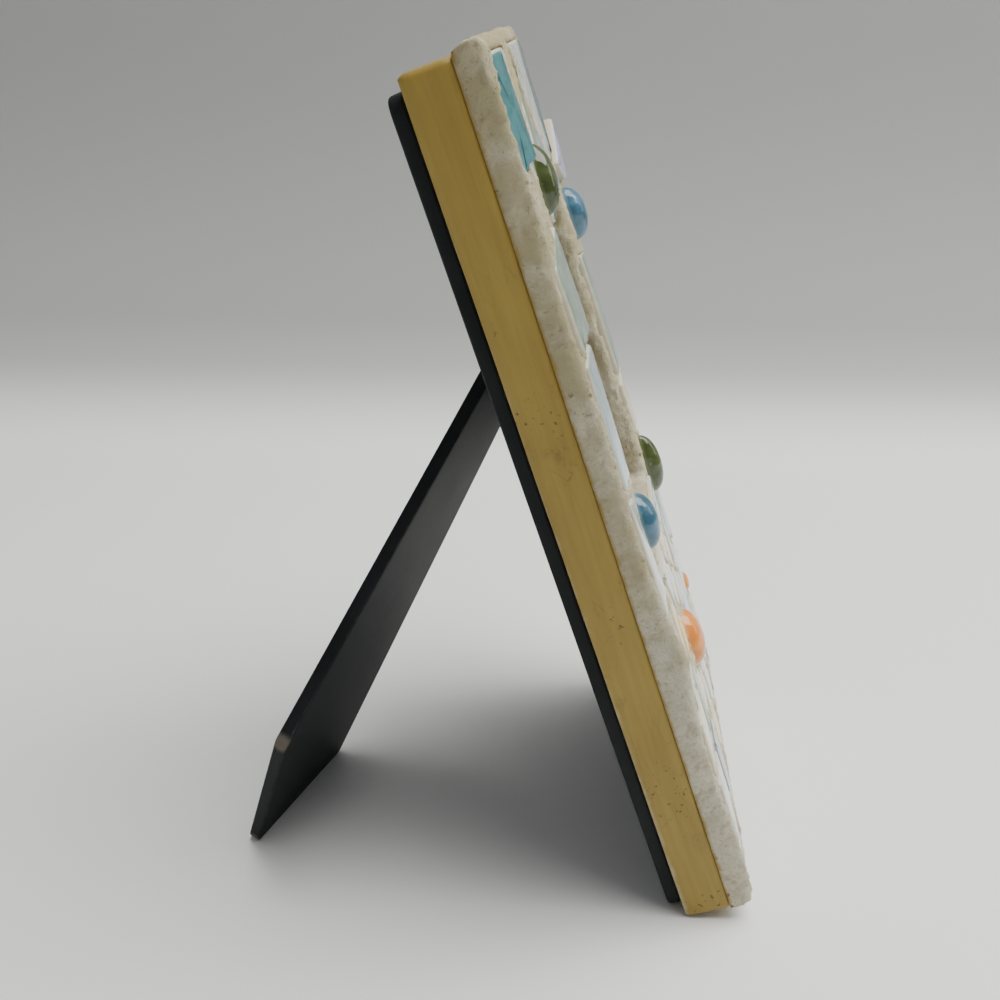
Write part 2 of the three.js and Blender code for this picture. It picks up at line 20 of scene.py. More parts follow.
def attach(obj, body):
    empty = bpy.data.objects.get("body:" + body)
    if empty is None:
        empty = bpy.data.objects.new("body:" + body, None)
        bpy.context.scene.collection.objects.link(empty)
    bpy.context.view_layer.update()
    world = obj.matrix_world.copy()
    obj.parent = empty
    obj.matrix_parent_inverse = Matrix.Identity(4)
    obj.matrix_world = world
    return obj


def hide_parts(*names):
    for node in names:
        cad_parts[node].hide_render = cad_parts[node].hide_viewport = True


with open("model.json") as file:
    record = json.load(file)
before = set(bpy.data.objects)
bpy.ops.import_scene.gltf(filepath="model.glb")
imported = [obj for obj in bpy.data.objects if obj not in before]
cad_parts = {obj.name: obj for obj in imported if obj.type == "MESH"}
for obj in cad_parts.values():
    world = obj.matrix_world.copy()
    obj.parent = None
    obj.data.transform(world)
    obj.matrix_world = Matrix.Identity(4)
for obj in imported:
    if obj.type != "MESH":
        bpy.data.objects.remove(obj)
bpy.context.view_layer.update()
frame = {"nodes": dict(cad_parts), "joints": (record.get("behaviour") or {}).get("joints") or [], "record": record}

logging.basicConfig(level=logging.INFO, format="%(message)s")
LOG = logging.getLogger("mosaic_frame")

FRAME_BODY = "frame"
LEG_BODY = "leg"
HALF_WIDTH = 70.0
HEIGHT = 254.0
WOOD_THICKNESS = 14.0
WINDOW_HALF_WIDTH = 42.0
WINDOW_BOTTOM = 100.0
WINDOW_TOP = 202.0
GROUT_LEVEL = WOOD_THICKNESS + 7.5
MILLIMETRE = 0.001

Colour = tuple[float, float, float]
Scuff = tuple[float, float, float, float]


# Places


@dataclass(frozen=True)
class Place:
    """A flat working place: millimetres along its own axes, carried into the row frame in metres."""

    matrix: Matrix

    @classmethod
    def from_axes(cls, origin: Vector, across: Vector, up: Vector) -> "Place":
        """Makes a place from its origin and two of its axes.

        Args:
            origin: Where the place's origin lies in the row frame, in metres.
            across: Unit vector along the place's first axis.
            up: Unit vector along its second axis.

        Returns:
            The place, with its third axis at right angles to the other two.
        """
        out = across.cross(up)
        turn = Matrix((across, up, out)).transposed().to_4x4()
        return cls(Matrix.Translation(origin) @ turn @ Matrix.Scale(MILLIMETRE, 4))

    def world(self, points: np.ndarray) -> np.ndarray:
        """Carries points from this place to the row frame."""
        m = np.array(self.matrix)
        return points @ m[:3, :3].T + m[:3, 3]

    def local(self, points: np.ndarray) -> np.ndarray:
        """Carries points from the row frame to this place."""
        m = np.array(self.matrix.inverted())
        return points @ m[:3, :3].T + m[:3, 3]


def front_place() -> Place:
    """Finds the frame's own place from the mount on its standing edge.

    Returns:
        The place with its origin at the middle of the wood's lower back edge.
    """
    mount = next(m for m in frame["record"]["mounts"] if m["name"] == "standing_edge")
    up = -Vector(mount["axis"])
    across = Vector((1.0, 0.0, 0.0))
    out = across.cross(up)
    return Place.from_axes(Vector(mount["pos_m"]) - out * WOOD_THICKNESS / 2 * MILLIMETRE, across, up)


def hinge_place(front: Place, opened: bool) -> Place:
    """Finds the place of one half of the leg's hinge.

    Args:
        front: The frame's own place.
        opened: True for the half on the leg, turned by the leg's opening, and False for the other.

    Returns:
        The place, with its first axis along the hinge.
    """
    joint = frame["joints"][0]
    along = Vector(joint["axis"]).normalized()
    out = (front.matrix.to_3x3() @ Vector((0.0, 0.0, 1.0))).normalized()
    up = out.cross(along)
    if opened:
        angle = -math.radians(joint["range_deg"][0])
        up = up * math.cos(angle) + out * math.sin(angle)
    return Place.from_axes(Vector(joint["pos_m"]), along, up)


# Meshes


def convex_outline(points: np.ndarray) -> np.ndarray:
    """Returns the convex outline of flat points, anticlockwise."""
    ordered = sorted({(round(float(x), 3), round(float(y), 3)) for x, y in points[:, :2]})

    def half(run: Iterable[tuple[float, float]]) -> list[tuple[float, float]]:
        """Walks one side of the outline."""
        chain: list[tuple[float, float]] = []
        for p in run:
            while len(chain) > 1:
                (ax, ay), (bx, by) = chain[-2], chain[-1]
                if (bx - ax) * (p[1] - ay) - (by - ay) * (p[0] - ax) > 0.002:
                    break
                chain.pop()
            chain.append(p)
        return chain[:-1]

    return np.array(half(ordered) + half(reversed(ordered)))


def resample(outline: np.ndarray, step: float, soften: float = 0.0) -> np.ndarray:
    """Walks a closed outline in even steps.

    Args:
        outline: Corner points, anticlockwise.
        step: Distance between stations.
        soften: Length over which corners are rounded off.

    Returns:
        The stations.
    """
    closed = np.vstack([outline, outline[:1]])
    lengths = np.linalg.norm(np.diff(closed, axis=0), axis=1)
    mileage = np.concatenate([[0.0], np.cumsum(lengths)])
    count = max(12, int(round(mileage[-1] / step)))
    stops = np.linspace(0.0, mileage[-1], count, endpoint=False)
    points = np.column_stack([np.interp(stops, mileage, closed[:, k]) for k in range(2)])
    reach = int(round(soften / step / 2))
    if reach:
        points = sum(np.roll(points, k, axis=0) for k in range(-reach, reach + 1)) / (2 * reach + 1)
    return points


def inset(outline: np.ndarray, distance: float) -> np.ndarray:
    """Moves a smooth closed outline inwards along its own normals."""
    tangent = np.roll(outline, -1, axis=0) - np.roll(outline, 1, axis=0)
    tangent /= np.linalg.norm(tangent, axis=1, keepdims=True) + 1e-9
    return outline + np.column_stack([-tangent[:, 1], tangent[:, 0]]) * distance


def link_object(name: str, data: Any) -> bpy.types.Object:
    """Makes an object of a mesh, lamp or camera and links it to the scene."""
    linked = bpy.data.objects.new(name, data)
    bpy.context.scene.collection.objects.link(linked)
    return linked


def baked(maker: bpy.types.Object) -> bpy.types.Mesh:
    """Returns a plain mesh of what an object's modifiers make, and removes the object."""
    graph = bpy.context.evaluated_depsgraph_get()
    mesh = bpy.data.meshes.new_from_object(maker.evaluated_get(graph))
    bpy.data.objects.remove(maker)
    return mesh


@dataclass
class Skin:
    """A mesh in a place: points in millimetres, faces, and named values on the points."""

    points: np.ndarray
    faces: list[tuple[int, ...]]
    values: dict[str, np.ndarray] = field(default_factory=dict)

    @classmethod
    def from_rings(cls, rings: Sequence[np.ndarray], values: dict[str, Sequence[float]]) -> "Skin":
        """Joins rings of equal counts into a closed skin, lowest ring first, with a fan at each end.

        Args:
            rings: Arrays of points, anticlockwise seen from above.
            values: For each named value, its number on each ring.

        Returns:
            The closed skin.
        """
        count = len(rings[0])
        points = np.vstack([*rings, rings[0].mean(axis=0), rings[-1].mean(axis=0)])
        low, high = len(points) - 2, len(points) - 1
        top = (len(rings) - 1) * count
        faces: list[tuple[int, ...]] = []
        for i in range(count):
            j = (i + 1) % count
            faces += [(k + i, k + j, k + count + j, k + count + i) for k in range(0, top, count)]
            faces += [(low, j, i), (high, top + i, top + j)]
        spread = {}
        for name, numbers in values.items():
            spread[name] = np.concatenate([np.repeat(numbers, count), [numbers[0], numbers[-1]]])
        return cls(points, faces, spread)

    @classmethod
    def from_node(cls, node: str, place: Place) -> "Skin":
        """Reads a CAD node's solid, with its doubled points merged, into a place."""
        bench = bmesh.new()
        bench.from_mesh(frame["nodes"][node].data)
        bmesh.ops.remove_doubles(bench, verts=bench.verts, dist=0.00002)
        points = np.array([v.co[:] for v in bench.verts])
        faces = [tuple(v.index for v in f.verts) for f in bench.faces]
        bench.free()
        return cls(place.local(points), faces)

    def mesh(self, name: str, place: Optional[Place] = None) -> bpy.types.Mesh:
        """Makes the Blender mesh, in the row frame if a place is given and in millimetres if not."""
        mesh = bpy.data.meshes.new(name)
        points = place.world(self.points) if place else self.points
        mesh.from_pydata(points.tolist(), [], self.faces)
        for key, numbers in self.values.items():
            attribute = mesh.attributes.new(key, "FLOAT", "POINT")
            attribute.data.foreach_set("value", np.asarray(numbers, np.float32))
        mesh.shade_smooth()
        mesh.update()
        return mesh

    def joined(self, other: "Skin") -> "Skin":
        """Returns this skin and another as one."""
        start = len(self.points)
        faces = self.faces + [tuple(i + start for i in f) for f in other.faces]
        values = {k: np.concatenate([v, other.values[k]]) for k, v in self.values.items()}
        return Skin(np.vstack([self.points, other.points]), faces, values)

    def remeshed(self, voxel: float, smoothing: int) -> "Skin":
        """Returns this solid as an even skin of small squares.

        Args:
            voxel: Size of a square in millimetres.
            smoothing: How often the new skin is relaxed.

        Returns:
            The even skin.
        """
        rough = link_object("rough", self.mesh("rough"))
        remesh = rough.modifiers.new("even", "REMESH")
        remesh.mode = "VOXEL"
        remesh.voxel_size = voxel
        relax = rough.modifiers.new("relax", "SMOOTH")
        relax.factor = 0.5
        relax.iterations = smoothing
        even = baked(rough)
        return Skin(np.array([v.co[:] for v in even.vertices]), [tuple(p.vertices) for p in even.polygons])

    def normals(self) -> np.ndarray:
        """Returns the outward normal at each point."""
        mesh = self.mesh("measured")
        normals = np.array([v.normal[:] for v in mesh.vertices])
        bpy.data.meshes.remove(mesh)
        return normals


def grain(points: np.ndarray, size: float, octaves: int = 3, shift: float = 0.0) -> np.ndarray:
    """Returns smooth fractal noise from -1 to 1 at each point, with bumps of about a given size."""
    offset = Vector((shift, 1.7 * shift, -shift))
    return np.array([noise.fractal(Vector(p) / size + offset, 0.6, 2.0, octaves) for p in points])


def add_piece(
    name: str, mesh: bpy.types.Mesh, body: str, slot: str, nodes: Sequence[str] = ()
) -> bpy.types.Object:
    """Puts a finished mesh into the scene as a piece of the object.

    Args:
        name: The piece's name.
        mesh: Its mesh, in the row frame.
        body: The CAD body that it rides on.
        slot: The record's material slot; not used.
        nodes: CAD nodes that it stands for.

    Returns:
        The piece.
    """
    piece = link_object(name, mesh)
    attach(piece, body)
    if nodes:
        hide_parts(*nodes)
    LOG.info("%s: %d faces on %s", name, len(mesh.polygons), body)
    return piece


# Shader maths

Value = Union["Wire", float, int, Sequence[float]]


@dataclass(frozen=True)
class Wire:
    """A value in a material's nodes that takes part in Python arithmetic."""

    bench: "ShaderBench"
    socket: bpy.types.NodeSocket

    def _maths(self, operation: str, first: Value, second: Value = 0.0) -> "Wire":
        """Adds one Math node."""
        node = self.bench.node("ShaderNodeMath", {"operation": operation}, {0: first, 1: second})
        return node["Value"]

    def __add__(self, other: Value) -> "Wire":
        """Adds."""
        return self._maths("ADD", self, other)

    def __radd__(self, other: Value) -> "Wire":
        """Adds, with this value second."""
        return self._maths("ADD", other, self)

    def __sub__(self, other: Value) -> "Wire":
        """Subtracts."""
        return self._maths("SUBTRACT", self, other)

    def __rsub__(self, other: Value) -> "Wire":
        """Subtracts this value from another."""
        return self._maths("SUBTRACT", other, self)

    def __mul__(self, other: Value) -> "Wire":
        """Multiplies."""
        return self._maths("MULTIPLY", self, other)

    def __rmul__(self, other: Value) -> "Wire":
        """Multiplies, with this value second."""
        return self._maths("MULTIPLY", other, self)

    def __truediv__(self, other: Value) -> "Wire":
        """Divides."""
        return self._maths("DIVIDE", self, other)

    def step(self, low: float, high: float) -> "Wire":
        """Runs smoothly from 0 at one value to 1 at another."""
        node = self.bench.node(
            "ShaderNodeMapRange",
            {"interpolation_type": "SMOOTHSTEP"},
            {"Value": self, "From Min": low, "From Max": high},
        )
        return node["Result"]

    def either(self, other: Value) -> "Wire":
        """Returns the greater of two values."""
        return self._maths("MAXIMUM", self, other)


@dataclass(frozen=True)
class Made:
    """A node just made, whose outputs are read by name."""

    bench: "ShaderBench"
    node: bpy.types.Node

    def __getitem__(self, output: Union[str, int]) -> Wire:
        """Returns an output as a wire."""
        return Wire(self.bench, find_socket(self.node.outputs, output))


def find_socket(sockets: Any, key: Union[str, int]) -> bpy.types.NodeSocket:
    """Finds a socket by its number, its identifier or its name."""
    if isinstance(key, int):
        return sockets[key]
    return next((s for s in sockets if s.identifier == key), None) or sockets[key]


class ShaderBench:
    """Builds the nodes of one material, with coordinates in a place's millimetres."""

    def __init__(self, name: str, place: Place) -> None:
        """Starts an empty material.

        Args:
            name: The material's name.
            place: The place whose millimetres its patterns are measured in.
        """
        self.material = bpy.data.materials.new(name)
        self.material.use_nodes = True
        self.tree = self.material.node_tree
        self.tree.nodes.clear()
        inverse = place.matrix.inverted()
        spin = inverse.to_3x3().normalized().to_euler()
        mapping = {"Location": inverse.translation[:], "Rotation": spin[:], "Scale": (1 / MILLIMETRE,) * 3}
        coords = self.node("ShaderNodeTexCoord")["Object"]
        self.place = self.node("ShaderNodeMapping", {}, {"Vector": coords, **mapping})["Vector"]

    def node(
        self,
        kind: str,
        settings: Optional[dict[str, Any]] = None,
        sockets: Optional[dict[Union[str, int], Value]] = None,
    ) -> Made:
        """Adds a node.

        Args:
            kind: The node's type.
            settings: Its settings, with a ramp's stops as a list of (position, colour) under "stops".
            sockets: A value or a wire for each of its inputs.

        Returns:
            The node, for its outputs.
        """
        node = self.tree.nodes.new(kind)
        for key, value in (settings or {}).items():
            if key == "stops":
                self._set_stops(node.color_ramp, value)
            else:
                setattr(node, key, value)
        for key, value in (sockets or {}).items():
            socket = find_socket(node.inputs, key)
            if isinstance(value, Wire):
                self.tree.links.new(value.socket, socket)
            elif socket.type == "RGBA":
                socket.default_value = (*value, 1.0)
            else:
                socket.default_value = value
        return Made(self, node)

    @staticmethod
    def _set_stops(ramp: bpy.types.ColorRamp, stops: Sequence[tuple[float, Colour]]) -> None:
        """Puts the stops of a ramp in place."""
        while len(ramp.elements) < len(stops):
            ramp.elements.new(1.0)
        for element, (position, colour) in zip(ramp.elements, stops):
            element.position = position
            element.color = (*colour, 1.0)

    def stretched(self, x: float, y: float, z: float) -> Wire:
        """Returns the place's coordinates with each axis multiplied."""
        node = self.node("ShaderNodeVectorMath", {"operation": "MULTIPLY"}, {0: self.place, 1: (x, y, z)})
        return node["Vector"]

    def axis(self, name: str) -> Wire:
        """Returns one coordinate in millimetres, named X, Y or Z."""
        return self.node("ShaderNodeSeparateXYZ", {}, {"Vector": self.place})[name]

    def distance_to(self, x: float, y: float, z: float) -> Wire:
        """Returns the distance in millimetres to a point in the place."""
        node = self.node("ShaderNodeVectorMath", {"operation": "DISTANCE"}, {0: self.place, 1: (x, y, z)})
        return node["Value"]

    def noise(
        self, size: float, detail: float = 3.0, roughness: float = 0.55, at: Optional[Wire] = None
    ) -> Wire:
        """Returns noise from 0 to 1 with bumps of about a given size in millimetres."""
        sockets = {"Vector": at or self.place, "Scale": 1 / size, "Detail": detail, "Roughness": roughness}
        return self.node("ShaderNodeTexNoise", {}, sockets)["Fac"]

    def cells(self, size: float, feature: str = "F1", at: Optional[Wire] = None) -> Wire:
        """Returns the distance within cells of about a given size in millimetres."""
        sockets = {"Vector": at or self.place, "Scale": 1 / size}
        return self.node("ShaderNodeTexVoronoi", {"feature": feature}, sockets)["Distance"]

    def value(self, name: str) -> Wire:
        """Returns a named value of the mesh."""
        return self.node("ShaderNodeAttribute", {"attribute_name": name})["Fac"]

    def mix(self, share: Value, first: Value, second: Value) -> Wire:
        """Mixes two colours.

        Args:
            share: How much of the second there is.
            first: Colour where the share is 0.
            second: Colour where the share is 1.

        Returns:
            The mixed colour.
        """
        sockets = {"Factor_Float": share, "A_Color": first, "B_Color": second}
        return self.node("ShaderNodeMix", {"data_type": "RGBA"}, sockets)["Result_Color"]

    def bump(self, height: Wire, distance: float, strength: float = 1.0) -> Wire:
        """Returns normals that stand for a height, with the distance in millimetres."""
        sockets = {"Height": height, "Distance": distance * MILLIMETRE, "Strength": strength}
        return self.node("ShaderNodeBump", {}, sockets)["Normal"]

    def finish(self, **sockets: Value) -> bpy.types.Material:
        """Ends the material with its surface shader.

        Args:
            sockets: The shader's inputs, with _ for each space in their names.

        Returns:
            The finished material.
        """
        named = {key.replace("_", " "): value for key, value in sockets.items()}
        surface = self.node("ShaderNodeBsdfPrincipled", {}, named)
        self.node("ShaderNodeOutputMaterial", {}, {"Surface": surface["BSDF"]})
        return self.material


# Finishes


@dataclass(frozen=True)
class PaintedWood:
    """Satin ochre paint on wood: brushed along the grain, stained, and worn pale along the back edge."""

    ochre: Colour = (0.37, 0.262, 0.052)
    deep_ochre: Colour = (0.29, 0.195, 0.036)
    stain: Colour = (0.1, 0.05, 0.015)
    bare: Colour = (0.62, 0.53, 0.36)

    def material(self, place: Place) -> bpy.types.Material:
        """Returns the material for the frame's place."""
        bench = ShaderBench("painted_wood", place)
        streaks = bench.noise(1.6, 4.0, at=bench.stretched(1.0, 0.05, 1.0))
        cloud = bench.noise(38.0, 3.0)
        height = bench.axis("Z")
        up = bench.axis("Y")
        waver = bench.noise(7.0, 4.0, 0.6)
        colour = bench.mix((cloud * 0.7 + streaks * 0.5).step(0.35, 0.85), self.ochre, self.deep_ochre)
        colour = bench.mix(bench.noise(11.0, 5.0, 0.7).step(0.56, 0.8) * 0.4, colour, self.stain)
        blots = bench.noise(26.0, 2.0).step(0.57, 0.62) * bench.noise(1.7, 3.0).step(0.6, 0.68)
        colour = bench.mix(blots * 0.85, colour, self.stain)
        back_edge = 1 - (height + waver * 2.6 + up * 0.006).step(1.2, 2.9)
        colour = bench.mix(back_edge * 0.7, colour, self.bare)
        scratches = bench.cells(5.0, "DISTANCE_TO_EDGE", bench.stretched(1.0, 0.22, 1.6))
        marks = (1 - scratches.step(0.0, 0.012)) * bench.noise(17.0).step(0.52, 0.6)
        colour = bench.mix(marks * 0.15, colour, self.stain)
        rough = 0.4 + 0.22 * streaks
        relief = streaks * 0.5 + cloud * 0.3 + marks * -0.5
        return bench.finish(
            Base_Color=colour,
            Roughness=rough,
            Specular_IOR_Level=0.4,
            Normal=bench.bump(relief, 0.25, 0.6),
        )


@dataclass(frozen=True)
class SandyGrout:
    """Pale lime grout with sand in it: gritty, pitted and flecked with dirt, with painted shade darkening its
    hollows and pits.
    """

    lime: Colour = (0.49, 0.44, 0.26)
    cream: Colour = (0.76, 0.72, 0.56)
    # sand is the grit's colour and also the painted shade in the hollows; dirt is real dirt and also the painted
    # shade in the pits.
    sand: Colour = (0.48, 0.38, 0.24)
    dirt_and_pit_shade: Colour = (0.2, 0.15, 0.09)
    ochre: Colour = (0.5, 0.33, 0.1)

    def material(self, place: Place) -> bpy.types.Material:
        """Returns the material for the frame's place."""
        bench = ShaderBench("sandy_grout", place)
        cloud = bench.noise(14.0, 4.0, 0.6)
        grit = bench.noise(1.1, 5.0, 0.8)
        lumps = bench.noise(3.2, 4.0, 0.65)
        specks = bench.cells(1.3)
        pits = 1 - bench.cells(4.6).step(0.09, 0.2)
        pits = pits * bench.noise(9.0).step(0.46, 0.6)
        colour = bench.mix((cloud + 0.22 - bench.axis("Y") * 0.0016).step(0.3, 0.72), self.lime, self.cream)
        colour = bench.mix(grit.step(0.5, 0.66) * 0.6, colour, self.sand)
        soil = (1 - specks.step(0.1, 0.24)) * bench.noise(5.0).step(0.5, 0.66)
        colour = bench.mix(soil * 0.5, colour, self.dirt_and_pit_shade)
        # Painted shade: the grout turns towards the darker sand colour wherever its surface lies low in a hollow.
        colour = bench.mix((1 - bench.value("relief").step(-0.5, 0.1)) * 0.45, colour, self.sand)
        # Painted shade: the pits are darkened with the dark dirt colour so that they read as deep holes.
        colour = bench.mix(pits * 0.75, colour, self.dirt_and_pit_shade)
        height = bench.axis("Z")
        tint = (1 - height.step(4.0, 11.0)) * bench.noise(8.0).step(0.35, 0.6)
        waver = bench.noise(7.0, 4.0, 0.6) * 3.4
        border = 1 - (height + waver).step(WOOD_THICKNESS + 1.2, WOOD_THICKNESS + 2.6)
        colour = bench.mix((tint * 0.6).either(border * 0.9), colour, self.ochre)
        relief = grit * 1.3 + lumps * 0.8 + (1 - specks.step(0.1, 0.3)) * 0.25 - pits * 1.2
        return bench.finish(
            Base_Color=colour,
            Roughness=0.82 + 0.16 * grit,
            Specular_IOR_Level=0.25,
            Normal=bench.bump(relief, 0.7, 1.0),
        )


@dataclass(frozen=True)
class Glaze:
    """Glossy glaze on pale clay: it pools darker, thins over the arrises and has fine crazing."""

    name: str
    colour: Colour
    pooled: Colour
    thin: Colour = (0.74, 0.7, 0.56)
    clay: Colour = (0.58, 0.54, 0.41)

    def material(self, place: Place) -> bpy.types.Material:
        """Returns the material for the frame's place."""
        bench = ShaderBench(f"glaze_{self.name}", place)
        rim = bench.value("rim")
        cover = bench.value("glaze")
        cloud = bench.noise(6.5, 3.0, 0.6)
        colour = bench.mix(cloud.step(0.32, 0.72), self.colour, self.pooled)
        colour = bench.mix((rim + cloud * 0.3 - 0.15).step(0.72, 1.02) * 0.75, colour, self.thin)
        crazing = 1 - bench.cells(2.6, "DISTANCE_TO_EDGE").step(0.0, 0.022)
        colour = bench.mix(crazing * 0.12, colour, self.pooled)
        dust = bench.noise(2.2, 5.0, 0.75).step(0.6, 0.78) * (0.15 + 0.6 * rim)
        colour = bench.mix(dust * 0.5, colour, self.clay)
        edge = cover.step(0.25, 0.75)
        colour = bench.mix(edge, self.clay, colour)
        rough = 0.75 - edge * 0.67 + dust * 0.35 + cloud * 0.04
        relief = cloud * 0.5 - crazing * 0.05 + (1 - edge) * bench.noise(0.7) * 0.6
        return bench.finish(
            Base_Color=colour,
            Roughness=rough,
            Specular_IOR_Level=0.55,
            Normal=bench.bump(relief, 0.18, 0.5),
        )


@dataclass(frozen=True)
class BlackPaper:
    """Black paper glued over board: faintly grained, with scuffs and rubbed grey edges."""

    black: Colour = (0.008, 0.0095, 0.0105)
    faded: Colour = (0.017, 0.02, 0.022)
    board: Colour = (0.17, 0.15, 0.12)

    def material(self, name: str, place: Place, scuffs: Sequence[Scuff]) -> bpy.types.Material:
        """Returns the material.

        Args:
            name: The material's name.
            place: The place whose millimetres it is measured in.
            scuffs: Worn places, each three coordinates and a reach.

        Returns:
            The material.
        """
        bench = ShaderBench(name, place)
        fibre = bench.noise(0.8, 4.0, 0.7)
        cloud = bench.noise(24.0, 4.0, 0.6)
        rub = bench.noise(3.0, 5.0, 0.75)
        wear = (bench.value("rim") * 1.1 + rub * 0.7 - 0.3).step(0.95, 1.25)
        for x, y, z, reach in scuffs:
            wear = wear.either((1.15 - bench.distance_to(x, y, z) / reach + rub * 0.5 - 0.25).step(0.3, 0.75))
        colour = bench.mix((cloud * 0.8 + fibre * 0.3).step(0.35, 0.85), self.black, self.faded)
        scuff = bench.noise(1.2, 3.0, at=bench.stretched(0.25, 1.0, 1.0)).step(0.66, 0.8) * 0.5
        colour = bench.mix(scuff, colour, self.faded)
        colour = bench.mix(wear * 0.8, colour, self.board)
        rough = 0.42 + 0.16 * fibre + 0.35 * wear + 0.1 * cloud
        relief = fibre * 0.5 + cloud * 0.8 - wear * 0.4
        return bench.finish(
            Base_Color=colour,
            Roughness=rough,
            Specular_IOR_Level=0.15,
            Normal=bench.bump(relief, 0.12, 0.6),
        )


@dataclass(frozen=True)
class BlackSteel:
    """Black lacquered sheet steel, rubbed to bright metal on its arrises."""

    lacquer: Colour = (0.022, 0.023, 0.026)
    steel: Colour = (0.42, 0.41, 0.39)

    def material(self, name: str, place: Place) -> bpy.types.Material:
        """Returns the material for a place."""
        bench = ShaderBench(name, place)
        rub = bench.noise(1.4, 5.0, 0.7)
        wear = (bench.value("rim") * 1.1 + rub * 0.8 - 0.4).step(0.8, 1.05)
        speck = bench.noise(0.6, 2.0).step(0.7, 0.78)
        colour = bench.mix(wear.either(speck * 0.4) * 0.85, self.lacquer, self.steel)
        return bench.finish(
            Base_Color=colour,
            Roughness=0.34 + 0.2 * rub,
            Metallic=0.15 + wear * 0.8,
            Normal=bench.bump(rub, 0.06, 0.5),
        )


@dataclass(frozen=True)
class WindowGlass:
    """Clear glass with a few dull smudges."""

    tint: Colour = (0.94, 0.97, 0.96)

    def material(self, place: Place) -> bpy.types.Material:
        """Returns the material for the frame's place."""
        bench = ShaderBench("window_glass", place)
        smudge = bench.noise(16.0, 4.0, 0.6).step(0.55, 0.75)
        return bench.finish(
            Base_Color=self.tint,
            Roughness=0.02 + smudge * 0.06,
            Transmission_Weight=1.0,
            IOR=1.5,
            Normal=bench.bump(bench.noise(30.0, 2.0), 0.05, 0.3),
        )


class GlazeColour(Enum):
    """The glazes of the mosaic, by the name that the record gives their slots."""

    WHITE = Glaze("white", (0.66, 0.67, 0.6), (0.5, 0.54, 0.5))
    CREAM = Glaze("cream", (0.72, 0.65, 0.42), (0.62, 0.52, 0.28))
    PALE_YELLOW = Glaze("pale_yellow", (0.75, 0.6, 0.24), (0.64, 0.47, 0.14))
    MINT = Glaze("mint", (0.24, 0.33, 0.24), (0.13, 0.2, 0.14))
    PALE_BLUE = Glaze("pale_blue", (0.34, 0.44, 0.47), (0.24, 0.33, 0.37))
    LAVENDER = Glaze("lavender", (0.5, 0.52, 0.7), (0.38, 0.41, 0.6))
    TEAL = Glaze("teal", (0.05, 0.19, 0.2), (0.03, 0.11, 0.12), (0.42, 0.6, 0.55))
    SLATE = Glaze("slate", (0.09, 0.14, 0.17), (0.045, 0.075, 0.1), (0.3, 0.4, 0.42))
    BLUE = Glaze("blue", (0.06, 0.17, 0.26), (0.03, 0.09, 0.13), (0.22, 0.37, 0.42))
    LEAF_GREEN = Glaze("leaf_green", (0.07, 0.095, 0.026), (0.035, 0.05, 0.013), (0.2, 0.24, 0.1))
    ORANGE = Glaze("orange", (0.78, 0.3, 0.06), (0.66, 0.2, 0.03), (0.9, 0.62, 0.32))

    @property
    def slot(self) -> str:
        """The record's material slot."""
        return f"glaze_{self.value.name}"


# Pieces of the mosaic


@dataclass(frozen=True)
class TileSolid:
    """What a tile's CAD solid says: its outline, its seat and crest, and the slope of its face."""

    outline: np.ndarray
    seat: float
    crest: float
    slope: np.ndarray

    @classmethod
    def read(cls, node: str, place: Place) -> "TileSolid":
        """Reads a node's solid.

        Args:
            node: The CAD node.
            place: The frame's place.

        Returns:
            Its outline and heights in the place's millimetres.
        """
        skin = Skin.from_node(node, place)
        points = skin.points
        seat = float(points[:, 2].min())
        upper = set()
        for face in skin.faces:
            a, b, c = (points[i] for i in face[:3])
            normal = np.cross(b - a, c - a)
            if normal[2] > 0.93 * np.linalg.norm(normal):
                upper.update(face)
        top = points[sorted(upper)]
        slope = np.zeros(3)
        if len(top) > 3:
            system = np.column_stack([np.ones(len(top)), top[:, 0], top[:, 1]])
            slope = np.linalg.lstsq(system, top[:, 2], rcond=None)[0]
        return cls(convex_outline(points), seat, float(points[:, 2].max()), slope)

    def height(self, points: np.ndarray) -> np.ndarray:
        """Returns the height of the sloping face at flat points."""
        return self.slope[0] + points @ self.slope[1:]


def add_glazed(node: str, skin: Skin, place: Place, glaze: GlazeColour) -> bpy.types.Object:
    """Adds a glazed piece that stands for its CAD node."""
    return add_piece(f"glazed_{node}", skin.mesh(node, place), FRAME_BODY, glaze.slot, [node])


